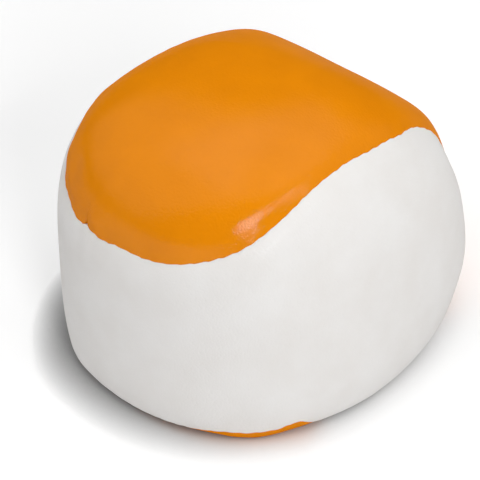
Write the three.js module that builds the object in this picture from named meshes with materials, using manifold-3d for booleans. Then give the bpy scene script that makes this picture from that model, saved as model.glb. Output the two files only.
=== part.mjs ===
// Two-panel footbag: two dumbbell panels of coated fabric, sewn inside out along one seam
// that winds round the bag like the seam of a tennis ball, turned, filled with plastic
// pellets and closed by hand at the last few stitches.
// Millimetres, +Z up, front towards -Y, origin on the floor under the middle of the bag.
import * as THREE from "three";
import { mergeVertices } from "three/addons/utils/BufferGeometryUtils.js";
import Module from "manifold-3d";

// Outside of the filled bag, measured from the middle of its widest level
const HALF_WIDTH = 27.5;
const HALF_DEPTH = 28.3;
const CROWN_RISE = 30.2;
const KEEL_DROP = 28.8;
const GIRTH_HEIGHT = 14.3;
const BASE_ROLL = 7;

// Fullness of the outside: 2 is round, and more is boxier
const BARREL_POWER = 2.15;
const RIM_POWER = 2.75;
const FACE_POWER = 3.7;

// Course of the seam: where it crosses the front, aims on crown and keel, and crosses the back
const SEAM_FRONT_RISE = 15.4;
const SEAM_FRONT_DROP = 17;
const SEAM_CROWN_AIM = 23.4;
const SEAM_KEEL_AIM = 33.8;
const SEAM_BACK_AIM = 18.7;
const SEAM_SWEEP_POWER = 2.9;
const PUCKER_DIP = 2.6;
const PUCKER_BEARING = THREE.MathUtils.degToRad(-137);
const PUCKER_SPREAD = THREE.MathUtils.degToRad(26);

// Coated fabric and its turned-in seam allowance
const PANEL_THICKNESS = 0.8;
const FOLD_RADIUS = 1;
const SEAM_ALLOWANCE = 4.4;
const SEAM_GAP = 0.3;

// Stitching
const STITCH_PITCH = 6;
const CLOSING_STITCHES = 6;
const HOLE_WIDTH = 1.1;
const HOLE_HEIGHT = 0.8;
const HOLE_BELOW_FOLD = 0.9;
const THREAD_DIAMETER = 0.24;
const THREAD_CLEARANCE = 0.2;
const LOOP_HALF_WIDTH = 0.18;
const KNOT_DIAMETER = 0.8;
const KNOT_TAIL = 2;

// Pellets
const FILL_CLEARANCE = 0.3;
const FILL_LEVEL = 33;
const PELLET_DIAMETER = 4;
const PELLET_LENGTH = 3.2;
const PELLET_END_DIAMETER = 3.2;
const PELLET_SPACING = 0.5;
const LOOSE_PELLETS = 30;

// How finely curved faces are cut into flat ones
const PANEL_RINGS = 6;
const SPINE_SHARE = 0.75;
const ARC_STEP = 1e-3;
const SEAM_SAMPLES = 1600;
const THREAD_SIDES = 3;
const PELLET_SIDES = 6;

const ORANGE_SIDE = 1;
const WHITE_SIDE = -1;
const FLANGE_FACE = SEAM_GAP / 2;
const FLANGE_BACK = FLANGE_FACE + PANEL_THICKNESS;
const FOLD_TOP = FLANGE_FACE + FOLD_RADIUS;
const HOLE_TOP = FOLD_RADIUS + HOLE_BELOW_FOLD;
const HOLE_FLOOR = HOLE_TOP + HOLE_HEIGHT;
const STITCH_DEPTH = (HOLE_TOP + HOLE_FLOOR) / 2;
const THREAD_RADIUS = THREAD_DIAMETER / 2;
const THREAD_LINE = FLANGE_BACK + THREAD_CLEARANCE + THREAD_RADIUS;
const KNOT_LINE = FLANGE_BACK + THREAD_CLEARANCE + KNOT_DIAMETER / 2;

// Two shares of a superellipse joined with a given power
function joined(first, second, power) {
  return (first ** power + second ** power) ** (1 / power);
}

// How far out a point lies, where 1 is on the unpressed outside: an upright barrel with a
// rounded rim in front, and a lying barrel along X with rounded rims behind
function reach(point) {
  const x = Math.abs(point.x) / HALF_WIDTH;
  const y = Math.abs(point.y) / HALF_DEPTH;
  const z = Math.abs(point.z) / (point.z > 0 ? CROWN_RISE : KEEL_DROP);
  const facing = (point.y / point.length()) ** 2;
  const power = THREE.MathUtils.lerp(RIM_POWER, FACE_POWER, facing);
  return point.y < 0
    ? joined(joined(x, y, BARREL_POWER), z, power)
    : joined(joined(y, z, BARREL_POWER), x, power);
}

// Height over the floor of a level of the unpressed bag, and how fast it rises with that level
function pressed(level) {
  if (level >= BASE_ROLL) return { height: level, slope: 1 };
  if (level <= -BASE_ROLL) return { height: 0, slope: 0 };
  const inRoll = level + BASE_ROLL;
  return { height: inRoll ** 2 / (4 * BASE_ROLL), slope: inRoll / (2 * BASE_ROLL) };
}

// Point of the outside in a direction from the middle of the widest level, and its normal
function outside(direction) {
  const point = direction.clone().divideScalar(reach(direction));
  const step = 1e-3 * HALF_WIDTH;
  const normal = new THREE.Vector3();
  for (const axis of ["x", "y", "z"]) {
    const before = point.clone();
    const after = point.clone();
    before[axis] -= step;
    after[axis] += step;
    normal[axis] = reach(after) - reach(before);
  }
  const { height, slope } = pressed(point.z + GIRTH_HEIGHT);
  point.z = height;
  normal.x *= slope;
  normal.y *= slope;
  return { point, normal: normal.normalize() };
}

// Direction of the seam over a turn from 0 to 1: across the front under the crown from left
// to right, down the right side behind, back across the front over the keel, up the left side
function seamDirection(turn) {
  const quarter = Math.floor(turn * 4) & 3;
  const along = turn * 4 - Math.floor(turn * 4);
  if (quarter % 2 === 0) {
    const crown = quarter === 0;
    const bearing = crown ? -Math.PI * (1 - along) : -Math.PI * along;
    const x = Math.cos(bearing);
    const y = Math.sin(bearing);
    const front = crown ? SEAM_FRONT_RISE : SEAM_FRONT_DROP;
    const rise = crown ? CROWN_RISE : KEEL_DROP;
    const corner = (rise * HALF_WIDTH) / (crown ? SEAM_CROWN_AIM : SEAM_KEEL_AIM);
    const offPucker = (bearing - PUCKER_BEARING) / PUCKER_SPREAD;
    const dip = crown ? PUCKER_DIP * Math.exp(-(offPucker ** 2)) : 0;
    const sweep = front + (corner - front) * Math.abs(x) ** SEAM_SWEEP_POWER - dip;
    const up = sweep * joined(Math.abs(x), Math.abs(y), BARREL_POWER);
    return new THREE.Vector3(HALF_WIDTH * x, HALF_DEPTH * y, crown ? up : -up);
  }
  const right = quarter === 1;
  const elevation = Math.PI * (right ? 0.5 - along : along - 0.5);
  const y = Math.cos(elevation);
  const z = Math.sin(elevation);
  const rim = z > 0 ? SEAM_CROWN_AIM : SEAM_KEEL_AIM;
  const aside = (rim * z ** 2 + SEAM_BACK_AIM * y ** 2) * joined(y, Math.abs(z), BARREL_POWER);
  const rise = z > 0 ? CROWN_RISE : KEEL_DROP;
  return new THREE.Vector3(right ? aside : -aside, HALF_DEPTH * y, rise * z);
}

// Length along the seam at each of its samples
const seamLengths = [0];
for (let i = 1; i <= SEAM_SAMPLES; i++) {
  const from = outside(seamDirection((i - 1) / SEAM_SAMPLES)).point;
  const to = outside(seamDirection(i / SEAM_SAMPLES)).point;
  seamLengths.push(seamLengths[i - 1] + from.distanceTo(to));
}
const SEAM_LENGTH = seamLengths[SEAM_SAMPLES];

// Turn of the seam at a length along it
function seamTurn(length) {
  const wrapped = THREE.MathUtils.euclideanModulo(length, SEAM_LENGTH);
  let low = 0;
  let high = SEAM_SAMPLES;
  while (high - low > 1) {
    const middle = (low + high) >> 1;
    if (seamLengths[middle] > wrapped) high = middle;
    else low = middle;
  }
  const share = (wrapped - seamLengths[low]) / (seamLengths[high] - seamLengths[low]);
  return (low + share) / SEAM_SAMPLES;
}

// Seam point with its outward normal and the way over the surface to the orange panel
function seamStation(length) {
  const turn = seamTurn(length);
  const step = 0.5 / SEAM_SAMPLES;
  const direction = seamDirection(turn);
  const { point, normal } = outside(direction);
  const along = outside(seamDirection(turn + step))
    .point.sub(outside(seamDirection(turn + 1 - step)).point)
    .normalize();
  const toOrange = new THREE.Vector3().crossVectors(normal, along).normalize();
  return { direction: direction.normalize(), point, normal, toOrange };
}

// Point beside the seam, towards the orange panel, and below the surface. The floor stops it,
// with the layers that lie between
function besideSeam(station, aside, depth) {
  const point = station.point
    .clone()
    .addScaledVector(station.toOrange, aside)
    .addScaledVector(station.normal, -depth);
  point.z = Math.max(point.z, depth);
  return point;
}

// Needle holes stand at equal lengths along the seam, and the hand-closed ones come first
const STITCHES = Math.round(SEAM_LENGTH / STITCH_PITCH);
const PITCH = SEAM_LENGTH / STITCHES;
const puckerTurn = (1 + PUCKER_BEARING / Math.PI) / 4;
const puckerLength = seamLengths[Math.round(puckerTurn * SEAM_SAMPLES)];
const firstHole = puckerLength - ((CLOSING_STITCHES - 1) / 2) * PITCH;
const holeLengths = Array.from({ length: STITCHES }, (_, k) => firstHole + k * PITCH);
const holeEdges = holeLengths.flatMap((length) => [
  seamStation(length - HOLE_WIDTH / 2),
  seamStation(length + HOLE_WIDTH / 2),
]);
const holeStarts = holeEdges.filter((_, i) => i % 2 === 0);

// Closed skin made of rings of points, joined one to the next
class Skin {
  constructor() {
    this.positions = [];
    this.triangles = [];
  }

  add(point) {
    this.positions.push(point.x, point.y, point.z);
    return this.positions.length / 3 - 1;
  }

  ring(points) {
    return points.map((point) => this.add(point));
  }

  quad(a, b, c, d) {
    this.triangles.push(a, b, c, a, c, d);
  }

  triangle(a, b, c, turned) {
    this.triangles.push(a, turned ? c : b, turned ? b : c);
  }

  // Cap on a long narrow ring, laced from side to side from its tip on
  lace(ring, tip, turned) {
    const loop = ring.map((_, i) => ring[(tip + i) % ring.length]);
    let left = 1;
    let right = loop.length - 1;
    this.triangle(loop[0], loop[left], loop[right], turned);
    while (right - left > 1) {
      this.triangle(loop[left], loop[left + 1], loop[right], turned);
      left++;
      if (right - left > 1) this.triangle(loop[left], loop[right - 1], loop[right], turned);
      right--;
    }
  }

  // Cap on the small end of a thread
  cap(ring, turned) {
    ring.slice(2).forEach((corner, i) => this.triangle(ring[0], ring[i + 1], corner, turned));
  }

  // Band between two rings of equal count, without the quads that are left open
  band(upper, lower, open = () => false) {
    upper.forEach((corner, i) => {
      const next = (i + 1) % upper.length;
      if (!open(i)) this.quad(corner, lower[i], lower[next], upper[next]);
    });
  }

  // Band from a ring to one of twice its count, or back from the finer one
  split(coarse, fine, coarseFirst) {
    coarse.forEach((corner, i) => {
      const next = coarse[(i + 1) % coarse.length];
      const [start, middle] = [fine[2 * i], fine[2 * i + 1]];
      const end = fine[(2 * i + 2) % fine.length];
      this.triangle(corner, start, middle, !coarseFirst);
      this.triangle(corner, middle, next, !coarseFirst);
      this.triangle(next, middle, end, !coarseFirst);
    });
  }

  // The finished geometry, with its faces turned outwards
  geometry() {
    let volume = 0;
    const corners = [new THREE.Vector3(), new THREE.Vector3(), new THREE.Vector3()];
    for (let i = 0; i < this.triangles.length; i += 3) {
      corners.forEach((corner, j) => corner.fromArray(this.positions, 3 * this.triangles[i + j]));
      volume += corners[0].dot(corners[1].cross(corners[2]));
    }
    const index = volume > 0 ? this.triangles : this.triangles.slice().reverse();
    return new THREE.BufferGeometry()
      .setAttribute("position", new THREE.Float32BufferAttribute(this.positions, 3))
      .setIndex(index);
  }
}

// Place of a direction along a panel's spine, as an angle from the middle of the panel: the
// orange spine runs up and down over the back, the white one left and right round the front
function spineAngle(side, direction) {
  return side === ORANGE_SIDE
    ? Math.atan2(direction.z, direction.y)
    : Math.atan2(direction.x, -direction.y);
}

function spineDirection(side, angle) {
  const [across, ahead] = [Math.sin(angle), side * Math.cos(angle)];
  return side === ORANGE_SIDE
    ? new THREE.Vector3(0, ahead, across)
    : new THREE.Vector3(across, ahead, 0);
}

// Rings of a panel's surface from its spine towards the seam, at a depth below the outside.
// Each runs along the arcs from the spine to where the fold starts, one arc a needle hole
function surfaceRings(side, depth) {
  const angles = holeStarts.map((station) => spineAngle(side, station.direction));
  const arcs = holeStarts.map((station, i) => {
    const foot = spineDirection(side, SPINE_SHARE * angles[i]);
    const axis = new THREE.Vector3().crossVectors(foot, station.direction).normalize();
    const nearer = station.direction.clone().applyAxisAngle(axis, -ARC_STEP);
    const cleared = outside(nearer).point.sub(station.point).dot(station.toOrange);
    const foldStart = (FOLD_TOP * ARC_STEP) / Math.abs(cleared);
    return { foot, axis, angle: foot.angleTo(station.direction) - foldStart };
  });
  const rings = [];
  for (let ring = 0; ring < PANEL_RINGS; ring++) {
    const share = (ring + 0.5) / PANEL_RINGS;
    rings.push(
      arcs.map(({ foot, axis, angle }) => {
        const { point, normal } = outside(foot.clone().applyAxisAngle(axis, angle * share));
        return point.addScaledVector(normal, -depth);
      }),
    );
  }
  return { rings, tip: angles.indexOf(Math.max(...angles)) };
}

// One panel: its outside, the fold at the seam, the turned-in allowance with its needle
// holes, and its backing inside
function panelGeometry(side) {
  const skin = new Skin();
  const foldMiddle = FOLD_RADIUS * (1 - Math.SQRT1_2);
  const edge = (aside, depth) =>
    skin.ring(holeEdges.map((station) => besideSeam(station, side * aside, depth)));

  const outer = surfaceRings(side, 0);
  const outerRings = outer.rings.map((ring) => skin.ring(ring));
  skin.lace(outerRings[0], outer.tip, false);
  outerRings.slice(1).forEach((ring, i) => skin.band(outerRings[i], ring));

  const fold = [
    edge(FOLD_TOP, 0),
    edge(FLANGE_FACE + foldMiddle, foldMiddle),
    edge(FLANGE_FACE, FOLD_RADIUS),
  ];
  const face = [edge(FLANGE_FACE, HOLE_TOP), edge(FLANGE_FACE, HOLE_FLOOR)];
  const hem = [edge(FLANGE_FACE, SEAM_ALLOWANCE), edge(FLANGE_BACK, SEAM_ALLOWANCE)];
  const back = [edge(FLANGE_BACK, HOLE_FLOOR), edge(FLANGE_BACK, HOLE_TOP)];
  const crease = [edge(FLANGE_BACK, FOLD_RADIUS), edge(FOLD_TOP, PANEL_THICKNESS)];
  const holed = (column) => column % 2 === 0;

  skin.split(outerRings.at(-1), fold[0], true);
  skin.band(fold[0], fold[1]);
  skin.band(fold[1], fold[2]);
  skin.band(fold[2], face[0]);
  skin.band(face[0], face[1], holed);
  skin.band(face[1], hem[0]);
  skin.band(hem[0], hem[1]);
  skin.band(hem[1], back[0]);
  skin.band(back[0], back[1], holed);
  skin.band(back[1], crease[0]);
  skin.band(crease[0], crease[1]);

  const inner = surfaceRings(side, PANEL_THICKNESS);
  const innerRings = inner.rings.map((ring) => skin.ring(ring)).reverse();
  skin.split(innerRings[0], crease[1], false);
  innerRings.slice(1).forEach((ring, i) => skin.band(innerRings[i], ring));
  skin.lace(innerRings.at(-1), inner.tip, true);

  for (let left = 0; left < holeEdges.length; left += 2) {
    const right = left + 1;
    const front = [face[0][left], face[1][left], face[1][right], face[0][right]];
    const rear = [back[1][left], back[0][left], back[0][right], back[1][right]];
    front.forEach((corner, i) => {
      const next = (i + 1) % front.length;
      skin.quad(corner, front[next], rear[next], rear[i]);
    });
  }
  return skin.geometry();
}

// Thread along a path of points, thickened into a bead at each knot
function threadGeometry(path, radii) {
  const skin = new Skin();
  const across = new THREE.Vector3();
  const rings = path.map((point, i) => {
    const before = path[Math.max(i - 1, 0)];
    const after = path[Math.min(i + 1, path.length - 1)];
    const tangent = after.clone().sub(before).normalize();
    if (i === 0) across.set(tangent.y, -tangent.x, 0);
    across.addScaledVector(tangent, -across.dot(tangent)).normalize();
    const corners = Array.from({ length: THREAD_SIDES }, (_, side) =>
      across
        .clone()
        .applyAxisAngle(tangent, (2 * Math.PI * side) / THREAD_SIDES)
        .multiplyScalar(radii[i])
        .add(point),
    );
    return skin.ring(corners);
  });
  skin.cap(rings[0], false);
  rings.slice(1).forEach((ring, i) => skin.band(rings[i], ring));
  skin.cap(rings.at(-1), true);
  return skin.geometry();
}

// Lockstitch thread of one side: it runs along the back of that panel's allowance and
// dips through each hole to the middle of the seam, where the thread of the other side meets it
function lockstitchGeometry(side) {
  const shoulder = LOOP_HALF_WIDTH + THREAD_RADIUS;
  const floor = FLANGE_FACE + THREAD_RADIUS;
  const path = holeLengths.slice(CLOSING_STITCHES).flatMap((length) =>
    [
      [-shoulder, THREAD_LINE],
      [-LOOP_HALF_WIDTH, floor],
      [LOOP_HALF_WIDTH, floor],
      [shoulder, THREAD_LINE],
    ].map(([along, aside]) =>
      besideSeam(seamStation(length + along), side * aside, STITCH_DEPTH),
    ),
  );
  return threadGeometry(path, path.map(() => THREAD_RADIUS));
}

// Closing thread: a ladder stitch through both allowances, with a knot at each end
function closingGeometry() {
  const path = [];
  const radii = [];
  const lay = (length, aside, radius) => {
    path.push(besideSeam(seamStation(length), aside, STITCH_DEPTH));
    radii.push(radius);
  };
  const knot = (length, side) => {
    lay(length - KNOT_DIAMETER / 2, side * KNOT_LINE, THREAD_RADIUS);
    lay(length, side * KNOT_LINE, KNOT_DIAMETER / 2);
    lay(length + KNOT_DIAMETER / 2, side * KNOT_LINE, THREAD_RADIUS);
  };
  const holes = holeLengths.slice(0, CLOSING_STITCHES);
  let side = ORANGE_SIDE;
  knot(holes[0] - KNOT_TAIL, side);
  for (const length of holes) {
    lay(length, side * THREAD_LINE, THREAD_RADIUS);
    side = -side;
    lay(length, side * THREAD_LINE, THREAD_RADIUS);
  }
  knot(holes.at(-1) + KNOT_TAIL, side);
  return threadGeometry(path, radii);
}

// Solid for cutting, from a closed geometry
const wasm = await Module();
wasm.setup();
function cuttable(geometry) {
  const bare = new THREE.BufferGeometry()
    .setAttribute("position", geometry.getAttribute("position"))
    .setIndex(geometry.index);
  const merged = mergeVertices(bare);
  return new wasm.Manifold(
    new wasm.Mesh({
      numProp: 3,
      vertProperties: merged.getAttribute("position").array,
      triVerts: new Uint32Array(merged.index.array),
    }),
  );
}

// The bulk of the pellets as one body: it lies against both backings, leaves a channel for
// the allowances and their threads, and ends level under the crown
function fillGeometry() {
  const skin = new Skin();
  const depth = PANEL_THICKNESS + FILL_CLEARANCE;
  const channel = KNOT_LINE + KNOT_DIAMETER / 2 + FILL_CLEARANCE;
  const floor = SEAM_ALLOWANCE + FILL_CLEARANCE;
  const lip = depth + channel ** 2 / BASE_ROLL;
  const edge = (aside, below) =>
    skin.ring(holeStarts.map((station) => besideSeam(station, aside, below)));
  const orange = surfaceRings(ORANGE_SIDE, depth);
  const white = surfaceRings(WHITE_SIDE, depth);
  const rings = [
    ...orange.rings.map((ring) => skin.ring(ring)),
    edge(channel, lip),
    edge(channel, floor),
    edge(-channel, floor),
    edge(-channel, lip),
    ...white.rings.map((ring) => skin.ring(ring)).reverse(),
  ];
  skin.lace(rings[0], orange.tip, false);
  rings.slice(1).forEach((ring, i) => skin.band(rings[i], ring));
  skin.lace(rings.at(-1), white.tip, true);

  const headSpace = new THREE.BoxGeometry(4 * HALF_WIDTH, 4 * HALF_DEPTH, 2 * CROWN_RISE);
  headSpace.translate(0, 0, FILL_LEVEL + CROWN_RISE);
  const settled = cuttable(skin.geometry()).subtract(cuttable(headSpace)).getMesh();
  return new THREE.BufferGeometry()
    .setAttribute("position", new THREE.BufferAttribute(settled.vertProperties, 3))
    .setIndex(new THREE.BufferAttribute(settled.triVerts, 1));
}

// A pellet cut from a melted strand: a short rod, fuller at its waist
function pelletGeometry() {
  const end = PELLET_END_DIAMETER / 2;
  const profile = [
    new THREE.Vector2(0, -PELLET_LENGTH / 2),
    new THREE.Vector2(end, -PELLET_LENGTH / 2),
    new THREE.Vector2(PELLET_DIAMETER / 2, 0),
    new THREE.Vector2(end, PELLET_LENGTH / 2),
    new THREE.Vector2(0, PELLET_LENGTH / 2),
  ];
  return new THREE.LatheGeometry(profile, PELLET_SIDES).rotateX(Math.PI / 2);
}

const footbag = new THREE.Group();

function addPiece(name, geometry, finish) {
  const material = new THREE.MeshStandardMaterial({ ...finish, metalness: 0 });
  const piece = new THREE.Mesh(geometry, material);
  piece.name = name;
  footbag.add(piece);
  return piece;
}

const ORANGE_VINYL = { color: 0xe6850f, roughness: 0.5 };
const WHITE_VINYL = { color: 0xe4e2e0, roughness: 0.5 };
const POLYESTER_THREAD = { color: 0xe9e4d6, roughness: 0.8 };
const PELLET_PLASTIC = { color: 0xd8d6cd, roughness: 0.6 };

addPiece("orange_panel", panelGeometry(ORANGE_SIDE), ORANGE_VINYL);
addPiece("white_panel", panelGeometry(WHITE_SIDE), WHITE_VINYL);
addPiece("needle_thread", lockstitchGeometry(ORANGE_SIDE), POLYESTER_THREAD);
addPiece("bobbin_thread", lockstitchGeometry(WHITE_SIDE), POLYESTER_THREAD);
addPiece("closing_thread", closingGeometry(), POLYESTER_THREAD);
addPiece("pellet_fill", fillGeometry(), PELLET_PLASTIC);

// Loose pellets lie on the level fill in a sunflower pattern, each turned a little further
const GOLDEN_ANGLE = Math.PI * (3 - Math.sqrt(5));
const SUNFLOWER_SPREAD = 0.61;
for (let k = 0; k < LOOSE_PELLETS; k++) {
  const name = `loose_pellet_${String(k + 1).padStart(2, "0")}`;
  const pellet = addPiece(name, pelletGeometry(), PELLET_PLASTIC);
  const fromMiddle = SUNFLOWER_SPREAD * (PELLET_DIAMETER + PELLET_SPACING) * Math.sqrt(k + 0.5);
  const bearing = k * GOLDEN_ANGLE;
  pellet.position.set(
    fromMiddle * Math.cos(bearing),
    fromMiddle * Math.sin(bearing),
    FILL_LEVEL + FILL_CLEARANCE + PELLET_LENGTH / 2,
  );
  pellet.rotation.z = bearing;
}

export default footbag;
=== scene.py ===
import bpy
import numpy as np
from mathutils import Matrix, Vector


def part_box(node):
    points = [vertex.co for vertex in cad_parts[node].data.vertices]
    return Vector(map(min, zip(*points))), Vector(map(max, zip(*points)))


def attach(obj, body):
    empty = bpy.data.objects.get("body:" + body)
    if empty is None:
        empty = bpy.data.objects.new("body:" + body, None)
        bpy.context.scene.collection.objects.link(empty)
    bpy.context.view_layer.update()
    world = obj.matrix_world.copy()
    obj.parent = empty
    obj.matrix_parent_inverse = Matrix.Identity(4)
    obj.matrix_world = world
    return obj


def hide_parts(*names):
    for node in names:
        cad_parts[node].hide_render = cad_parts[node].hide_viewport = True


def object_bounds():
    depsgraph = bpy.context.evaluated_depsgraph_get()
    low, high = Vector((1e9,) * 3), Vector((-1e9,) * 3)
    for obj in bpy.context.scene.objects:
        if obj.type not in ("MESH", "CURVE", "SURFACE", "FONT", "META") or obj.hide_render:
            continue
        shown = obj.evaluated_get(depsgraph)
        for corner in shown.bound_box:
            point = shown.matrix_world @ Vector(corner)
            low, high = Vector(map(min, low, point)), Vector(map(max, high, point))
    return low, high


# Two-panel footbag, dressed piece by piece in the order in which it is sewn, filled and set
# down. Metres, +Z up, the front towards -Y, the origin on the floor under the middle.
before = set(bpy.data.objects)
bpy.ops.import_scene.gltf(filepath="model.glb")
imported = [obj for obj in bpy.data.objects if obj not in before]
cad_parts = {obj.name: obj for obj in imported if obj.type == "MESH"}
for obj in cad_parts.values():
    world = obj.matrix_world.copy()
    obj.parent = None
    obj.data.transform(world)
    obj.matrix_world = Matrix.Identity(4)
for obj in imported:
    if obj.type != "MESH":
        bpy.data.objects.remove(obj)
cad_low, cad_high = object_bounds()


# Orange panel: one of the two dumbbell-shaped pieces of vinyl leathercloth, 0.8 mm thick. It
# covers the crown, the back and the keel. It is sewn to the white panel inside out, so after
# the turning its edge rolls in at a tight fold and the allowance hangs hidden behind it.
MM = 0.001
GIRTH_HEIGHT = 14.3 * MM
HALF_WIDTH = (cad_high.x - cad_low.x) / 2
HALF_DEPTH = (cad_high.y - cad_low.y) / 2
CROWN_RISE = cad_high.z - GIRTH_HEIGHT
KEEL_DROP = 28.8 * MM
BASE_SOFTNESS = 2.5 * MM
BARREL_POWER = 2.15
RIM_POWER = 2.75
FACE_POWER = 3.7


def joined(first, second, power):
    """Superellipse sum: the power-th root of the sum of both shares to that power."""
    return (first**power + second**power) ** (1 / power)


def reach(points):
    """How far out points lie, where 1 is on the bag before it settles: an upright barrel with
    a rounded rim in front, and a lying barrel along X behind, fuller the more they face Y."""
    x, y, z = np.moveaxis(points, -1, 0)
    across = np.abs(x) / HALF_WIDTH
    ahead = np.abs(y) / HALF_DEPTH
    up = np.abs(z) / np.where(z > 0, CROWN_RISE, KEEL_DROP)
    power = RIM_POWER + (FACE_POWER - RIM_POWER) * y**2 / (points**2).sum(-1)
    front = joined(joined(across, ahead, BARREL_POWER), up, power)
    behind = joined(joined(ahead, up, BARREL_POWER), across, power)
    return np.where(y < 0, front, behind)


def unit(vectors):
    """Vectors divided by their lengths."""
    return vectors / np.linalg.norm(vectors, axis=-1, keepdims=True)


def slope_of_reach(points):
    """Gradient of reach by central differences along X, Y and Z."""
    step = 1e-3 * HALF_WIDTH
    slopes = [reach(points + step * axis) - reach(points - step * axis) for axis in np.eye(3)]
    return np.stack(slopes, -1)


def swell(place, middle, spread):
    """Bell curve: exp of minus the squared distance from the middle over the spread."""
    return np.exp(-(((place - middle) / spread) ** 2))


# Where the keel rolls up from the floor in a tighter curve: bearing, tightening and spread
TIGHT_ROLLS = [
    (np.radians(-47), 1.45 * MM, np.radians(11)),
    (np.radians(1), 0.65 * MM, np.radians(18)),
]
# Where the pellets press the cloth out a little, or leave it slack: place, rise and spread
PRESSED_PLACES = [
    ((-12.5 * MM, 14.3 * MM, 39.8 * MM), 0.55 * MM, 4.5 * MM),
    ((14.8 * MM, 21.3 * MM, 33 * MM), 0.7 * MM, 5 * MM),
    ((2.5 * MM, 18.2 * MM, 38.3 * MM), -0.2 * MM, 7 * MM),
    ((23 * MM, 21.7 * MM, 13 * MM), 0.4 * MM, 5 * MM),
    ((-11.5 * MM, -25.4 * MM, 2.1 * MM), 0.3 * MM, 4 * MM),
    ((-12.4 * MM, -23.3 * MM, 34.4 * MM), -0.4 * MM, 1.9 * MM),
]


def outside(directions):
    """Points and normals of the settled bag in directions from the middle of its girth. The
    floor presses the keel flat: height is softness times ln(1 + exp(level / softness)). The
    pressed places then rise along the normal as bell curves."""
    bearing = np.arctan2(directions[..., 1], directions[..., 0])
    tight = sum(
        tightening * swell(bearing, middle, spread) for middle, tightening, spread in TIGHT_ROLLS
    )
    softness = BASE_SOFTNESS - tight
    loose = directions / reach(directions)[..., None]
    level = (loose[..., 2] + GIRTH_HEIGHT) / softness
    points = loose.copy()
    points[..., 2] = softness * np.logaddexp(0, level)
    normals = slope_of_reach(loose)
    normals[..., :2] /= 1 + np.exp(-level)[..., None]
    normals = unit(normals)
    for place, rise, spread in PRESSED_PLACES:
        away = np.linalg.norm(points - place, axis=-1, keepdims=True)
        points = points + normals * rise * swell(away, 0, spread)
    points[..., 2] = np.maximum(points[..., 2], 0)
    return points, normals


SEAM_FRONT_RISE = 15.4 * MM
SEAM_FRONT_DROP = 17 * MM
SEAM_CROWN_AIM = 23.4 * MM
SEAM_KEEL_AIM = 33.8 * MM
SEAM_BACK_AIM = 18.7 * MM
SEAM_SWEEP_POWER = 2.9
SEAM_QUARTER_STEPS = 1600
PUCKER_DIP = 2.6 * MM
PUCKER_BEARING = np.radians(-137)
PUCKER_SPREAD = np.radians(26)


def seam_across_front(bearing, crown):
    """Seam directions at a bearing round the front, under the crown or over the keel: a height
    that grows with a power of the distance from the middle, less the dip at the pucker."""
    x, y = np.cos(bearing), np.sin(bearing)
    middle = SEAM_FRONT_RISE if crown else SEAM_FRONT_DROP
    corner = CROWN_RISE / SEAM_CROWN_AIM if crown else KEEL_DROP / SEAM_KEEL_AIM
    dip = crown * PUCKER_DIP * swell(bearing, PUCKER_BEARING, PUCKER_SPREAD)
    sweep = middle + (corner * HALF_WIDTH - middle) * np.abs(x) ** SEAM_SWEEP_POWER - dip
    up = sweep * joined(np.abs(x), np.abs(y), BARREL_POWER)
    return np.stack([HALF_WIDTH * x, HALF_DEPTH * y, up if crown else -up], -1)


def seam_down_side(elevation, side):
    """Seam directions at an elevation behind the right or left side: the distance from the
    middle plane passes from the aim at the rims to the aim at the back by the squared sine."""
    y, z = np.cos(elevation), np.sin(elevation)
    rim = np.where(z > 0, SEAM_CROWN_AIM, SEAM_KEEL_AIM)
    aside = (rim * z**2 + SEAM_BACK_AIM * y**2) * joined(np.abs(y), np.abs(z), BARREL_POWER)
    up = np.where(z > 0, CROWN_RISE, KEEL_DROP) * z
    return np.stack([side * aside, HALF_DEPTH * y, up], -1)


# The seam as a closed loop of four quarters: across the front under the crown from left to
# right, down the right side, back across the front over the keel, and up the left side
quarter = np.linspace(0, np.pi, SEAM_QUARTER_STEPS, endpoint=False)
seam_quarters = [
    seam_across_front(quarter - np.pi, True),
    seam_down_side(np.pi / 2 - quarter, 1),
    seam_across_front(-quarter, False),
    seam_down_side(quarter - np.pi / 2, -1),
]
seam_table = np.concatenate([*seam_quarters, seam_quarters[0][:1]])
seam_steps = np.linalg.norm(np.diff(outside(seam_table)[0], axis=0), axis=1)
seam_lengths = np.concatenate([[0], np.cumsum(seam_steps)])
SEAM_LENGTH = seam_lengths[-1]

# Columns of the panels' grids stand at equal lengths along the seam, six to a stitch
STITCH_PITCH = 2.1 * MM
COLUMNS_PER_STITCH = 6
STITCHES = round(SEAM_LENGTH / STITCH_PITCH)
COLUMNS = STITCHES * COLUMNS_PER_STITCH
column_length = np.arange(COLUMNS) * SEAM_LENGTH / COLUMNS
column_stitch = np.arange(COLUMNS) / COLUMNS_PER_STITCH


def round_the_loop(rows):
    """Central difference along a closed loop of rows."""
    return np.roll(rows, -1, 0) - np.roll(rows, 1, 0)


# The hand that guided the cloth let the line wander: the place along the seam, the offset
# towards the orange panel and the spread of each wander. At the front right of the keel the
# white edge rides up, so that a sliver of orange shows under it
WANDERS = [
    (13 * MM, -1.2 * MM, 3.5 * MM),
    (24.3 * MM, -1.4 * MM, 3 * MM),
    (30 * MM, -0.35 * MM, 2.5 * MM),
    (31.6 * MM, -0.35 * MM, 1.8 * MM),
    (33.4 * MM, -0.45 * MM, 1.8 * MM),
    (39.2 * MM, -0.32 * MM, 1.8 * MM),
    (44 * MM, 0.12 * MM, 3 * MM),
    (62 * MM, -0.42 * MM, 5 * MM),
    (75 * MM, 0.36 * MM, 5 * MM),
    (88 * MM, -0.34 * MM, 4 * MM),
    (94.5 * MM, -0.2 * MM, 2.2 * MM),
    (101 * MM, 1.1 * MM, 5 * MM),
    (105.5 * MM, 0.45 * MM, 2.5 * MM),
    (111 * MM, -0.7 * MM, 4 * MM),
]
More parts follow.
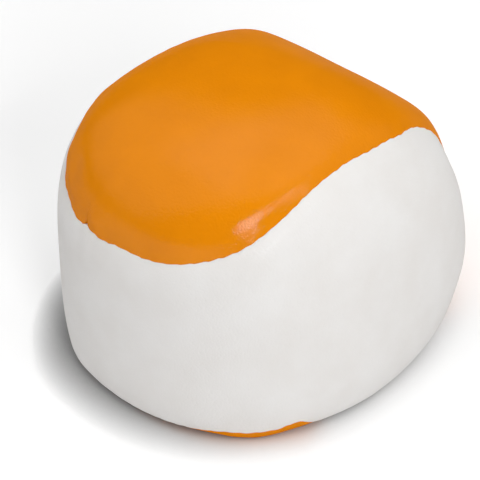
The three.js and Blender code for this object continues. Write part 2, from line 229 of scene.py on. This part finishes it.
KEEL_LIFTS = [
    (175 * MM, 6.2 * MM, 3.3 * MM),
    (179.6 * MM, 1.5 * MM, 2.6 * MM),
    (183.3 * MM, 5 * MM, 6.6 * MM),
    (205 * MM, -3 * MM, 9 * MM),
]
true_line = np.stack([np.interp(column_length, seam_lengths, axis) for axis in seam_table.T], -1)
true_line = true_line / reach(true_line)[:, None]
wander = sum(offset * swell(column_length, place, spread) for place, offset, spread in WANDERS)
lift = sum(rise * swell(column_length, place, spread) for place, rise, spread in KEEL_LIFTS)
off_line = unit(np.cross(slope_of_reach(true_line), round_the_loop(true_line)))
seam_aim = unit(true_line + off_line * wander[:, None] + lift[:, None] * [0, 0, 1])
seam_point, seam_normal = outside(seam_aim)
to_orange = unit(np.cross(seam_normal, round_the_loop(seam_point)))

# Thread tension: the cloth rolls in towards the seam, less so near the floor that presses it
# out again. Each stitch nips the fold, the cloth creeps a little from one stitch to the next,
# and shallow gathers run out from the seam. The orange edge laps slightly under the white one
ROLL_DEPTH = 0.35 * MM
ROLL_REACH = 2.4 * MM
ROLL_HEIGHT = 9 * MM
LAP_DEPTH = 0.04 * MM
LAP_REACH = 0.35 * MM
NIP_DEPTH = 0.08 * MM
NIP_WIDTH = 0.6 * MM
NIP_SHARPNESS = 4
CREEP = 0.3 * MM
CREEP_WIDTH = 0.9 * MM
CREEP_SNAP = 6
GATHER_RISE = 0.012 * MM
GATHER_REACH = 4 * MM
GATHERS_ROUND_SEAM = (41, 67, 97)
SLACKEST_PULL = 0.25
STITCH_SEED = 7
stitch_draw = np.random.default_rng(STITCH_SEED).uniform(SLACKEST_PULL, 1, STITCHES)
pull = np.repeat(stitch_draw, COLUMNS_PER_STITCH)
between = column_stitch % 1
creep = CREEP * pull * (between - 0.5) * (1 - (2 * between - 1) ** CREEP_SNAP)
roll_in = ROLL_DEPTH * (1 - swell(seam_point[:, 2], 0, ROLL_HEIGHT))
nip = NIP_DEPTH * pull * np.cos(np.pi * between) ** NIP_SHARPNESS
loop_angle = 2 * np.pi * column_length / SEAM_LENGTH
gather = sum(np.sin(waves * loop_angle + waves) for waves in GATHERS_ROUND_SEAM)

# Hand-closed stretch: the cloth is gathered more there, and the orange stands up like a pillow
# beside the seam. At its end the white edge steps up into the orange one, with a crease above
# the step and a bulge beside it
TUCK_PLACE = 34.9 * MM
TUCK_RISE = 0.15 * MM
TUCK_WIDTH = 0.8 * MM
TUCK_REACH = 2.4 * MM
CREASE_DEPTH = 0.55 * MM
CREASE_WIDTH = 0.4 * MM
CREASE_REACH = 1.6 * MM
BULGE_PLACE = TUCK_PLACE + 2.4 * MM
BULGE_RISE = 0.45 * MM
BULGE_LEAN = 0.05 * MM
BULGE_WIDTH = 1.6 * MM
HAND_GATHER_PLACE = 24 * MM
HAND_GATHER_SPREAD = 12 * MM
HAND_GATHER_RISE = 0.05 * MM
PILLOW_PLACE = 22 * MM
PILLOW_SPREAD = 18 * MM
PILLOW_RISE = 0.55 * MM
PILLOW_REACH = 2.6 * MM
PILLOW_EXTENT = 13 * MM
tuck = TUCK_RISE * swell(column_length, TUCK_PLACE, TUCK_WIDTH)
tuck = tuck - BULGE_LEAN * swell(column_length, BULGE_PLACE, BULGE_WIDTH)
crease = CREASE_DEPTH * swell(column_length, TUCK_PLACE, CREASE_WIDTH)
bulge = BULGE_RISE * swell(column_length, BULGE_PLACE, BULGE_WIDTH)
hand_gather = HAND_GATHER_RISE * swell(column_length, HAND_GATHER_PLACE, HAND_GATHER_SPREAD)
pillow = PILLOW_RISE * swell(column_length, PILLOW_PLACE, PILLOW_SPREAD)

ORANGE_SIDE = 1
WHITE_SIDE = -1


def relief(distance, side):
    """Shift towards orange and rise along the normal at distances from the seam: creep, tuck and
    roll fade as bells, nips, gathers, lap and crease as exp of minus distance over reach. The
    pillow is a wide bell less a narrow one at the fold, and the bulge a bell beside the seam."""
    shift = creep * swell(distance, 0, CREEP_WIDTH) + tuck * swell(distance, 0, TUCK_REACH)
    nipped = np.exp(-distance / NIP_WIDTH)
    gathers = (GATHER_RISE + hand_gather) * gather * np.exp(-distance / GATHER_REACH)
    rise = gathers * (1 - nipped) - nip * nipped - roll_in * swell(distance, 0, ROLL_REACH)
    if side == ORANGE_SIDE:
        past_fold = 1 - swell(distance, 0, PILLOW_REACH)
        rise = rise + pillow * past_fold * swell(distance, 0, PILLOW_EXTENT)
        rise = rise - LAP_DEPTH * np.exp(-distance / LAP_REACH)
        rise = rise - crease * np.exp(-distance / CREASE_REACH)
        rise = rise + bulge * swell(distance, BULGE_WIDTH, BULGE_WIDTH)
    return shift, rise


CLOTH_THICKNESS = 0.8 * MM
FOLD_RADIUS = 0.15 * MM
FOLD_DIP = 0.05 * MM
SEAM_ALLOWANCE = 4.4 * MM
SEAM_GAP = 0.01 * MM
FOLD_STEPS = 6
ALLOWANCE_STEPS = 4
FACE_RINGS = 54
LINING_RINGS = 12
RING_CROWDING = 1.4
SPINE_SHARE = 0.75
ARC_STEP = 1e-3


def panel_arcs(side):
    """Great-circle arcs from a panel's spine to the seam: their feet, the directions across,
    their angles, and the column at the spine's tip. The orange spine runs up over the back, the
    white one sideways round the front. A foot stands at a share of the true line's own angle
    along that spine, levelled with the column that lies as far from the tip on the other side."""
    spine_axis = 2 if side == ORANGE_SIDE else 0
    spine_angle = np.arctan2(true_line[:, spine_axis], side * true_line[:, 1])
    tip = int(np.argmax(spine_angle))
    opposite = (2 * tip - np.arange(COLUMNS)) % COLUMNS
    foot_angle = SPINE_SHARE * (spine_angle + spine_angle[opposite]) / 2
    foot = np.zeros_like(seam_aim)
    foot[:, spine_axis] = np.sin(foot_angle)
    foot[:, 1] = side * np.cos(foot_angle)
    along = (foot * seam_aim).sum(1, keepdims=True)
    return foot, unit(seam_aim - foot * along), np.arccos(along[:, 0]), tip


def panel_face(side, rings, depth, edge):
    """Rings of points from the spine to an edge beside the seam: the arcs are cut in shares that
    crowd towards the seam by a power, laid on the outside, relieved and sunk by a depth."""
    foot, sideways, angle, _ = panel_arcs(side)

    def on_arcs(turn):
        return outside(foot * np.cos(turn)[..., None] + sideways * np.sin(turn)[..., None])

    stepped_back = on_arcs(angle - ARC_STEP)[0] - seam_point
    angle = angle - edge * ARC_STEP / np.abs((stepped_back * to_orange).sum(1))
    share = 1 - (1 - (np.arange(rings) + 0.5) / rings) ** RING_CROWDING
    points, normals = on_arcs(angle * share[:, None])
    steps = np.linalg.norm(np.diff(points, axis=0, append=seam_point[None]), axis=2)
    distance = np.cumsum(steps[::-1], axis=0)[::-1]
    shift, rise = relief(distance, side)
    return points + to_orange * shift[..., None] + normals * (rise - depth)[..., None]


def beside_seam(side, aside, depth):
    """One ring beside the seam at a distance aside and below the surface. The floor stops it,
    with the layers that lie between."""
    shift, rise = relief(np.abs(aside) * np.ones(COLUMNS), side)
    points = seam_point + to_orange * (side * aside + shift)[:, None]
    points = points + seam_normal * (rise - depth)[:, None]
    points[:, 2] = np.maximum(points[:, 2], depth)
    return points


def panel_skin(side):
    """A panel as one closed skin of rings: its face from the spine to the fold, a quarter round
    into the seam, down the allowance, round its raw edge, up behind it and back to the spine
    along the lining."""
    face_line = SEAM_GAP / 2
    back_line = face_line + CLOTH_THICKNESS
    fold_top = face_line + FOLD_RADIUS
    lining_edge = back_line + FOLD_RADIUS
    bend = np.linspace(0, np.pi / 2, FOLD_STEPS + 1)
    depths = np.linspace(FOLD_DIP, SEAM_ALLOWANCE, ALLOWANCE_STEPS + 1)
    profile = [
        *[(fold_top - FOLD_RADIUS * np.sin(b), FOLD_DIP * (1 - np.cos(b))) for b in bend],
        *[(face_line, depth) for depth in depths[1:]],
        *[(back_line, depth) for depth in depths[:0:-1]],
        (lining_edge, CLOTH_THICKNESS),
    ]
    face = panel_face(side, FACE_RINGS, 0, fold_top)
    edge = np.stack([beside_seam(side, aside, depth) for aside, depth in profile])
    lining = panel_face(side, LINING_RINGS, CLOTH_THICKNESS, lining_edge)[::-1]
    return np.concatenate([face, edge, lining])


def ring_faces(rings, columns):
    """Quads of a grid of rings that close on themselves."""
    corner = np.arange(rings * columns).reshape(rings, columns)
    beside = np.roll(corner, -1, 1)
    quads = np.stack([corner[:-1], corner[1:], beside[1:], beside[:-1]], -1)
    return quads.reshape(-1, 4).tolist()


def laced_faces(first, tip):
    """Faces across a long narrow ring of columns: quads between the columns that lie equally
    far from its tip on both sides, and a triangle at each end."""
    out = np.arange(COLUMNS // 2 + 1)
    left = first + (tip + out) % COLUMNS
    right = first + (tip - out) % COLUMNS
    quads = np.stack([left[1:-2], left[2:-1], right[2:-1], right[1:-2]], -1).tolist()
    ends = np.array([[left[0], left[1], right[1]], [left[-2], left[-1], right[-2]]])
    return quads + ends.tolist()


def surface_object(name, points, faces, outward=True):
    """Smooth-shaded mesh object at the origin, with its faces turned over where they point in."""
    mesh = bpy.data.meshes.new(name)
    turned = faces if outward else [face[::-1] for face in faces]
    mesh.from_pydata(points.reshape(-1, 3).tolist(), [], turned)
    mesh.shade_smooth()
    made = bpy.data.objects.new(name, mesh)
    bpy.context.scene.collection.objects.link(made)
    return made


def sewn_panel(name, side):
    """A panel as an object, with both ends of its skin laced across the spine. An attribute
    marks its lining, from the raw edge inwards."""
    rings = panel_skin(side)
    tip = panel_arcs(side)[3]
    lining_end = [face[::-1] for face in laced_faces((len(rings) - 1) * COLUMNS, tip)]
    faces = ring_faces(len(rings), COLUMNS) + laced_faces(0, tip) + lining_end
    panel = surface_object(name, rings, faces, outward=side == ORANGE_SIDE)
    lined = np.zeros(rings.shape[:2], np.float32)
    lined[FACE_RINGS + FOLD_STEPS + ALLOWANCE_STEPS + 1:] = 1
    panel.data.attributes.new("lined", "FLOAT", "POINT").data.foreach_set("value", lined.ravel())
    return panel


def node(material, kind, inputs=None, **settings):
    """Adds a shader node: settings are its own properties, inputs its sockets by name or
    number, each a value or the socket that feeds it."""
    made = material.node_tree.nodes.new(kind)
    for setting, value in settings.items():
        setattr(made, setting, value)
    for socket, value in (inputs or {}).items():
        if isinstance(value, bpy.types.NodeSocket):
            material.node_tree.links.new(value, made.inputs[socket])
        else:
            made.inputs[socket].default_value = value
    return made


def blended(material, share, first, second):
    """Colour between two colours by a share."""
    mix = node(material, "ShaderNodeMix", {0: share, 6: first, 7: second}, data_type="RGBA")
    return mix.outputs[2]


def scaled(material, value, low, high, to_low, to_high):
    """Value carried in proportion from one range to another."""
    limits = {"From Min": low, "From Max": high, "To Min": to_low, "To Max": to_high}
    return node(material, "ShaderNodeMapRange", {"Value": value, **limits}).outputs[0]


def combined(material, operation, first, second, clamp=False):
    """Two values put together by an operation of arithmetic, held between 0 and 1 if asked."""
    arithmetic = node(material, "ShaderNodeMath", {0: first, 1: second}, operation=operation)
    arithmetic.use_clamp = clamp
    return arithmetic.outputs[0]


def bumped(material, height, strength, depth):
    """Normals of a fine relief: a height times a depth in metres."""
    sockets = {"Height": height, "Strength": strength, "Distance": depth}
    return node(material, "ShaderNodeBump", sockets).outputs[0]


def noise(material, place, size, detail):
    """Noise with features of a size in metres."""
    sockets = {"Vector": place, "Scale": 1 / size, "Detail": detail}
    return node(material, "ShaderNodeTexNoise", sockets).outputs[0]


def finish_material(name, **sockets):
    """Material with a shader whose constant sockets are set, and its object coordinates."""
    material = bpy.data.materials.new(name)
    material.use_nodes = True
    shader = material.node_tree.nodes["Principled BSDF"]
    for socket, value in sockets.items():
        shader.inputs[socket.replace("_", " ")].default_value = value
    return material, shader, node(material, "ShaderNodeTexCoord").outputs["Object"]


def feed(material, shader, **sockets):
    """Links outputs into the shader's sockets."""
    for socket, output in sockets.items():
        material.node_tree.links.new(output, shader.inputs[socket.replace("_", " ")])


def screen_colour(code):
    """Linear colour of a hexadecimal screen colour: a straight foot, then a power of 2.4."""
    screen = np.array([code >> 16 & 255, code >> 8 & 255, code & 255]) / 255
    linear = np.where(screen <= 0.04045, screen / 12.92, ((screen + 0.055) / 1.055) ** 2.4)
    return (*linear.tolist(), 1)


GRAIN_SIZE = 0.32 * MM
GRAIN_HEIGHT = 0.025 * MM
GRAIN_SMOOTHNESS = 0.3
FINE_GRAIN_SIZE = 0.17 * MM
FINE_GRAIN_SHARE = 0.4
MOTTLE_SIZE = 7 * MM
MOTTLE_RANGE = (0.3, 0.7)
COAT_INDEX = 3
COAT_ROUGHNESS = 0.095
KNIT_SIZE = 0.6 * MM
KNIT_COLOUR = screen_colour(0xCFC8B8)


def leathercloth(name, colour, deep_colour, coat):
    """Vinyl with an embossed grain: rounded pebbles from cell distances with a finer noise on
    them, a slow mottle between two tones, and a knitted backing where it is lined."""
    material, shader, place = finish_material(
        name,
        Specular_IOR_Level=0,
        Coat_Weight=coat,
        Coat_Roughness=COAT_ROUGHNESS,
        Coat_IOR=COAT_INDEX,
    )
    pebbles = node(
        material,
        "ShaderNodeTexVoronoi",
        {"Vector": place, "Scale": 1 / GRAIN_SIZE, "Smoothness": GRAIN_SMOOTHNESS},
        feature="SMOOTH_F1",
    ).outputs["Distance"]
    domes = combined(material, "MULTIPLY", pebbles, pebbles)
    fine = noise(material, place, FINE_GRAIN_SIZE, detail=1)
    height = combined(
        material, "SUBTRACT", scaled(material, fine, 0, 1, 0, FINE_GRAIN_SHARE), domes
    )
    grain = bumped(material, height, 1, GRAIN_HEIGHT)
    mottle = noise(material, place, MOTTLE_SIZE, detail=3)
    tone = blended(material, scaled(material, mottle, *MOTTLE_RANGE, 0, 1), colour, deep_colour)
    lined = node(material, "ShaderNodeAttribute", attribute_name="lined").outputs["Fac"]
    loops = noise(material, place, KNIT_SIZE, detail=1)
    knit = blended(material, loops, KNIT_COLOUR, deep_colour)
    cloth = blended(material, lined, tone, knit)
    feed(material, shader, Base_Color=cloth, Normal=grain, Coat_Normal=grain)
    return material


ORANGE = screen_colour(0xEA8A00)
DEEP_ORANGE = screen_colour(0xE48500)
ORANGE_COAT = 0.064
orange_cover = sewn_panel("orange_cover", ORANGE_SIDE)
orange_cover.data.materials.append(
    leathercloth("orange_leathercloth", ORANGE, DEEP_ORANGE, ORANGE_COAT)
)
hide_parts("orange_panel")
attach(orange_cover, "root")


# White panel: the second dumbbell of the same leathercloth, turned a quarter against the first.
# It wraps the left side, the front and the right side, and its waist lies across the front.
WHITE = screen_colour(0xEDEBE9)
DEEP_WHITE = screen_colour(0xE9E6E3)
WHITE_COAT = 0.03
white_cover = sewn_panel("white_cover", WHITE_SIDE)
white_cover.data.materials.append(
    leathercloth("white_leathercloth", WHITE, DEEP_WHITE, WHITE_COAT)
)
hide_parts("white_panel")
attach(white_cover, "root")


# Machine threads: polyester, 0.24 mm thick. A needle thread behind the orange allowance and a
# bobbin thread behind the white one lock together at each stitch between the two cloths, all
# round the seam except along the stretch through which the bag was turned and filled.
THREAD_RADIUS = 0.12 * MM
THREAD_SIDES = 6
THREAD_LINE = SEAM_GAP / 2 + CLOTH_THICKNESS + THREAD_RADIUS
THREAD_COLOUR = screen_colour(0xE9E4D6)
PLY_COLOUR = screen_colour(0xBDB6A4)
PLY_DEPTH = THREAD_RADIUS / 4
PLY_STRENGTH = 0.5
THREAD_ROUGHNESS = 0.75
THREAD_SHEEN = 0.3
STITCH_DEPTH = 2.3 * MM
LOCK_SHARPNESS = 16
CLOSING_START = 4 * MM
CLOSING_END = 36 * MM


def thread_tube(name, path, up, radius):
    """Round profile carried along a path: each ring lies square to the path's tangent, and the
    ends are closed by a face each."""
    tangent = unit(np.gradient(path, axis=0))
    aside = unit(np.cross(tangent, up))
    over = np.cross(aside, tangent)
    angle = 2 * np.pi * np.arange(THREAD_SIDES) / THREAD_SIDES
    spokes = aside[:, None] * np.cos(angle)[:, None] + over[:, None] * np.sin(angle)[:, None]
    rings = path[:, None] + spokes * np.reshape(radius, (-1, 1, 1))
    ends = np.arange(len(path) * THREAD_SIDES).reshape(len(path), THREAD_SIDES)[[0, -1]]
    faces = ring_faces(len(path), THREAD_SIDES) + [ends[0].tolist(), ends[1][::-1].tolist()]
    return surface_object(name, rings, faces)


def sewing_thread(name):
    """Twisted polyester: a fine noise for its plies, in tone and in height."""
    material, shader, place = finish_material(
        name, Roughness=THREAD_ROUGHNESS, Sheen_Weight=THREAD_SHEEN
    )
    plies = noise(material, place, THREAD_RADIUS, detail=2)
    tone = blended(material, plies, THREAD_COLOUR, PLY_COLOUR)
    feed(material, shader, Base_Color=tone, Normal=bumped(material, plies, PLY_STRENGTH, PLY_DEPTH))
    return material


def dress_thread(thread, replaced_node):
    """Thread finish and place in the frame."""
    thread.data.materials.append(thread_finish)
    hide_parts(replaced_node)
    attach(thread, "root")


thread_finish = sewing_thread("polyester_thread")
sewn_columns = np.arange(
    round(CLOSING_END / SEAM_LENGTH * COLUMNS),
    COLUMNS + round(CLOSING_START / SEAM_LENGTH * COLUMNS),
) % COLUMNS
lock = np.cos(np.pi * between) ** LOCK_SHARPNESS
for name, side, replaced in (
    ("needle_lockstitch", ORANGE_SIDE, "needle_thread"),
    ("bobbin_lockstitch", WHITE_SIDE, "bobbin_thread"),
):
    path = beside_seam(side, THREAD_LINE + (THREAD_RADIUS - THREAD_LINE) * lock, STITCH_DEPTH)
    lockstitch = thread_tube(name, path[sewn_columns], seam_normal[sewn_columns], THREAD_RADIUS)
    dress_thread(lockstitch, replaced)


# Closing thread: one length of the same thread, laced by hand from allowance to allowance over
# the stretch that was left open, with a knot at each end.
HAND_STITCH = 2
KNOT_SWELL = 0.3 * MM
KNOT_WIDTH = 0.35 * MM
KNOT_INSET = 3
LACE_SHARPNESS = 3
closing_columns = np.flatnonzero((column_length > CLOSING_START) & (column_length < CLOSING_END))
closing_length = column_length[closing_columns]
lace_side = np.clip(LACE_SHARPNESS * np.cos(np.pi * column_stitch / HAND_STITCH), -1, 1)
closing_path = beside_seam(ORANGE_SIDE, THREAD_LINE * lace_side, STITCH_DEPTH)[closing_columns]
knots = swell(closing_length, closing_length[KNOT_INSET], KNOT_WIDTH)
knots = knots + swell(closing_length, closing_length[-1 - KNOT_INSET], KNOT_WIDTH)
closing_lace = thread_tube(
    "closing_lace", closing_path, seam_normal[closing_columns], THREAD_RADIUS + KNOT_SWELL * knots
)
dress_thread(closing_lace, "closing_thread")


# Pellets: natural polyethylene, cut hot from a strand, so each is a short rod that swelled at
# its waist. They fill the bag loosely up to a level under the crown.
PELLET_LENGTH = 3.2 * MM
PELLET_RADIUS = 2 * MM
PELLET_END_RADIUS = 1.5 * MM
PELLET_PITCH = 4.4 * MM
PELLET_CLEARANCE = 2.5 * MM
PELLET_LAYERS = 12
PELLETS_EACH_WAY = 9
PELLET_COLOUR = screen_colour(0xE2E0D8)
DEEP_PELLET_COLOUR = screen_colour(0xCFCCC0)
PELLET_ROUGHNESS = 0.45
PELLET_MILKINESS = 0.2
PELLET_SEED = 11


def pellet_form(sides, rings):
    """Rod about Z: its radius swells from the cut ends to the waist as a half ellipse. Its faces
    come as two arrays, the quads round it and the two cut ends."""
    along = np.linspace(-1, 1, rings)
    radius = PELLET_END_RADIUS + (PELLET_RADIUS - PELLET_END_RADIUS) * np.sqrt(1 - along**2)
    angle = -2 * np.pi * np.arange(sides) / sides
    points = np.stack(
        [
            radius[:, None] * np.cos(angle),
            radius[:, None] * np.sin(angle),
            np.repeat(along[:, None] * PELLET_LENGTH / 2, sides, 1),
        ],
        -1,
    )
    corner = np.arange(rings * sides).reshape(rings, sides)
    cut_ends = np.stack([corner[0], corner[-1][::-1]])
    return points.reshape(-1, 3), (np.array(ring_faces(rings, sides)), cut_ends)


def turned_any_way(draw, count):
    """Rotation matrices from random unit quaternions."""
    w, x, y, z = unit(draw.normal(size=(count, 4))).T
    rows = [
        [1 - 2 * (y * y + z * z), 2 * (x * y - z * w), 2 * (x * z + y * w)],
        [2 * (x * y + z * w), 1 - 2 * (x * x + z * z), 2 * (y * z - x * w)],
        [2 * (x * z - y * w), 2 * (y * z + x * w), 1 - 2 * (x * x + y * y)],
    ]
    return np.moveaxis(np.array(rows), -1, 0)


def packed_places(top):
    """Close-packed places inside the bag below a level: layers of a triangular lattice, kept
    where they lie clear of the cloth, of the floor and of the turned-in allowances."""
    layer_height = PELLET_PITCH * np.sqrt(2 / 3)
    row_height = PELLET_PITCH * np.sqrt(3) / 2
    each_way = np.arange(-PELLETS_EACH_WAY, PELLETS_EACH_WAY + 1)
    layer, row, place = np.meshgrid(np.arange(PELLET_LAYERS), each_way, each_way, indexing="ij")
    x = PELLET_PITCH * (place + (row % 2) / 2 + (layer % 2) / 2)
    y = row_height * (row + (layer % 2) / 3)
    z = top - layer_height * layer
    spots = np.stack([x, y, z], -1).reshape(-1, 3)
    spots = spots[spots[:, 2] > CLOTH_THICKNESS + PELLET_CLEARANCE]
    loose = spots.copy()
    loose[:, 2] = BASE_SOFTNESS * np.log(np.expm1(spots[:, 2] / BASE_SOFTNESS)) - GIRTH_HEIGHT
    sunk = (1 - reach(loose)) * np.linalg.norm(loose, axis=1)
    allowance = (seam_point - seam_normal * SEAM_ALLOWANCE / 2)[::COLUMNS_PER_STITCH]
    to_allowance = np.linalg.norm(spots[:, None] - allowance[None], axis=2).min(1)
    clear = to_allowance > SEAM_ALLOWANCE / 2 + PELLET_CLEARANCE
    return spots[clear & (sunk > CLOTH_THICKNESS + PELLET_CLEARANCE)]


def polyethylene(name):
    """Milky pellet plastic: two tones by pellet-sized noise, and light that enters a little."""
    material, shader, place = finish_material(
        name,
        Roughness=PELLET_ROUGHNESS,
        Subsurface_Weight=PELLET_MILKINESS,
        Subsurface_Scale=PELLET_RADIUS,
    )
    cloudy = noise(material, place, PELLET_PITCH, detail=1)
    tone = blended(material, cloudy, PELLET_COLOUR, DEEP_PELLET_COLOUR)
    feed(material, shader, Base_Color=tone)
    return material


pellet_finish = polyethylene("pellet_polyethylene")


def pellet_object(name, places, turns, form, replaced_node):
    """Pellets of one form at places, each turned its own way, as one object. Each pellet's faces
    count on from the corners of those before it."""
    points, kinds = form
    laid = np.einsum("nij,mj->nmi", turns, points) + places[:, None]
    first = len(points) * np.arange(len(places))[:, None, None]
    quads, cut_ends = [(kind + first).reshape(-1, kind.shape[1]).tolist() for kind in kinds]
    made = surface_object(name, laid, quads + cut_ends)
    made.data.materials.append(pellet_finish)
    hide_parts(replaced_node)
    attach(made, "root")


pellet_draw = np.random.default_rng(PELLET_SEED)
fill_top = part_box("pellet_fill")[1].z
bed_places = packed_places(fill_top - PELLET_CLEARANCE)
bed_turns = turned_any_way(pellet_draw, len(bed_places))
bed_form = pellet_form(sides=6, rings=4)
pellet_object("pellet_bed", bed_places, bed_turns, bed_form, "pellet_fill")
top_form = pellet_form(sides=12, rings=7)
loose_nodes = sorted(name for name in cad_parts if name.startswith("loose_pellet"))
for name in loose_nodes:
    low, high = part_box(name)
    middle = np.array((low + high) / 2)
    lying = turned_any_way(pellet_draw, 1)
    pellet_object(name.replace("loose", "top"), middle[None], lying, top_form, name)


# Floor: a seamless sheet of white paper under the bag. It looks white to the camera where nothing
# shades it and keeps the soft shadow that the bag throws. Close to the bag a painted shadow deepens
# that shadow: an occlusion that leans away from the left side darkens the floor's seen colour and
# glow.
FLOOR_HALF = 1.5
FLOOR_DROP = 0.02 * MM
FLOOR_ALBEDO = (0.8, 0.8, 0.8, 1)
FLOOR_ROUGHNESS = 0.9
FLOOR_LIFT = 0.1
SHADE_REACH = 6.6 * MM
SHADE_DEPTH = 1.3
SHADE_LEAN = unit(np.array([0.93, 0.46, 0.65]))
corners = np.array([[-1, -1, 0], [1, -1, 0], [1, 1, 0], [-1, 1, 0]]) * FLOOR_HALF
corners[:, 2] = -FLOOR_DROP
floor = surface_object("floor", corners, [[0, 1, 2, 3]])
paper, paper_shader, _ = finish_material(
    "white_paper", Roughness=FLOOR_ROUGHNESS, Specular_IOR_Level=0
)


def seen_directly(material):
    """1 for rays from the camera, from gloss and through glass, and 0 for light on its way."""
    path = node(material, "ShaderNodeLightPath").outputs
    seen = combined(material, "ADD", path["Is Camera Ray"], path["Is Glossy Ray"])
    return combined(material, "ADD", seen, path["Is Transmission Ray"], clamp=True)


seen = seen_directly(paper)
# Painted shadow: the leaning occlusion darkens the colour and the white lift that camera, gloss and
# glass see
lean = node(paper, "ShaderNodeCombineXYZ", dict(enumerate(SHADE_LEAN.tolist()))).outputs[0]
occlusion = node(paper, "ShaderNodeAmbientOcclusion", {"Distance": SHADE_REACH, "Normal": lean})
shade = occlusion.outputs["Color"]
shade = node(paper, "ShaderNodeGamma", {"Color": shade, "Gamma": SHADE_DEPTH}).outputs[0]
white_lift = combined(paper, "MULTIPLY", seen, FLOOR_LIFT)
feed(
    paper,
    paper_shader,
    Base_Color=blended(paper, seen, FLOOR_ALBEDO, shade),
    Emission_Color=shade,
    Emission_Strength=white_lift,
)
floor.data.materials.append(paper)


# Light: a dim white room with softboxes overhead, on the left and behind on the right, and two
# narrow strip lamps on the right: the leaning one draws the bright streak along the orange rim,
# the level one its faint tail.
ROOM_LEVEL = 0.18
world = bpy.data.worlds.new("white_room")
world.use_nodes = True
room = world.node_tree.nodes["Background"]
room.inputs["Color"].default_value = (1, 1, 1, 1)
room.inputs["Strength"].default_value = ROOM_LEVEL
bpy.context.scene.world = world


def facing_bag(name, fitting, azimuth, elevation, distance, lean):
    """A lamp or camera that faces the middle of the bag's girth from an azimuth, where 0 is the
    front and 90 the right, and an elevation. It leans by an angle, all in degrees."""
    around, above = np.radians([azimuth, elevation])
    way = np.array([np.sin(around) * np.cos(above), -np.cos(around) * np.cos(above), np.sin(above)])
    made = bpy.data.objects.new(name, fitting)
    made.location = Vector(way * distance + [0, 0, GIRTH_HEIGHT])
    facing = (made.location - Vector((0, 0, GIRTH_HEIGHT))).to_track_quat("Z", "Y").to_matrix()
    made.rotation_euler = (facing @ Matrix.Rotation(np.radians(lean), 3, "Z")).to_euler()
    bpy.context.scene.collection.objects.link(made)
    return made


def softbox(name, azimuth, elevation, distance, width, height, power, lean=0):
    """Rectangular lamp of a width and height in metres and a power in watts."""
    lamp = bpy.data.lights.new(name, "AREA")
    lamp.shape = "RECTANGLE"
    lamp.size = width
    lamp.size_y = height
    lamp.energy = power
    facing_bag(name, lamp, azimuth, elevation, distance, lean)


softbox("overhead_softbox", 165, 78, 1, 1.2, 1.2, 3.35)
softbox("left_softbox", -60, 54, 0.9, 1.6, 1.6, 5.6)
softbox("right_softbox", 134, 45, 0.9, 1.1, 1.1, 1.3)
softbox("key_strip", 58.5, 28, 0.6, 0.028, 0.26, 1.22, lean=-33)
softbox("side_strip", 86, 39, 0.6, 0.3, 0.02, 0.35)


# Camera: a long lens at the front right, looking down on the bag.
CAMERA_AZIMUTH = 42.749
CAMERA_ELEVATION = 36.942
CAMERA_ROLL = -0.304
CAMERA_DISTANCE = 336.5 * MM
FOCAL_PIXELS = 2250
PHOTO_PIXELS = 480
AIM_PIXEL = (251.2, 245.8)
SENSOR_WIDTH = 36
NEAREST_SEEN = 10 * MM
lens = bpy.data.cameras.new("camera")
lens.sensor_width = SENSOR_WIDTH
lens.lens = FOCAL_PIXELS / PHOTO_PIXELS * SENSOR_WIDTH
lens.shift_x = (PHOTO_PIXELS / 2 - AIM_PIXEL[0]) / PHOTO_PIXELS
lens.shift_y = (AIM_PIXEL[1] - PHOTO_PIXELS / 2) / PHOTO_PIXELS
lens.clip_start = NEAREST_SEEN
camera = facing_bag(
    "camera", lens, CAMERA_AZIMUTH, CAMERA_ELEVATION, CAMERA_DISTANCE, CAMERA_ROLL
)
bpy.context.scene.camera = camera
bpy.context.scene.view_settings.view_transform = "Standard"

bpy.context.view_layer.update()
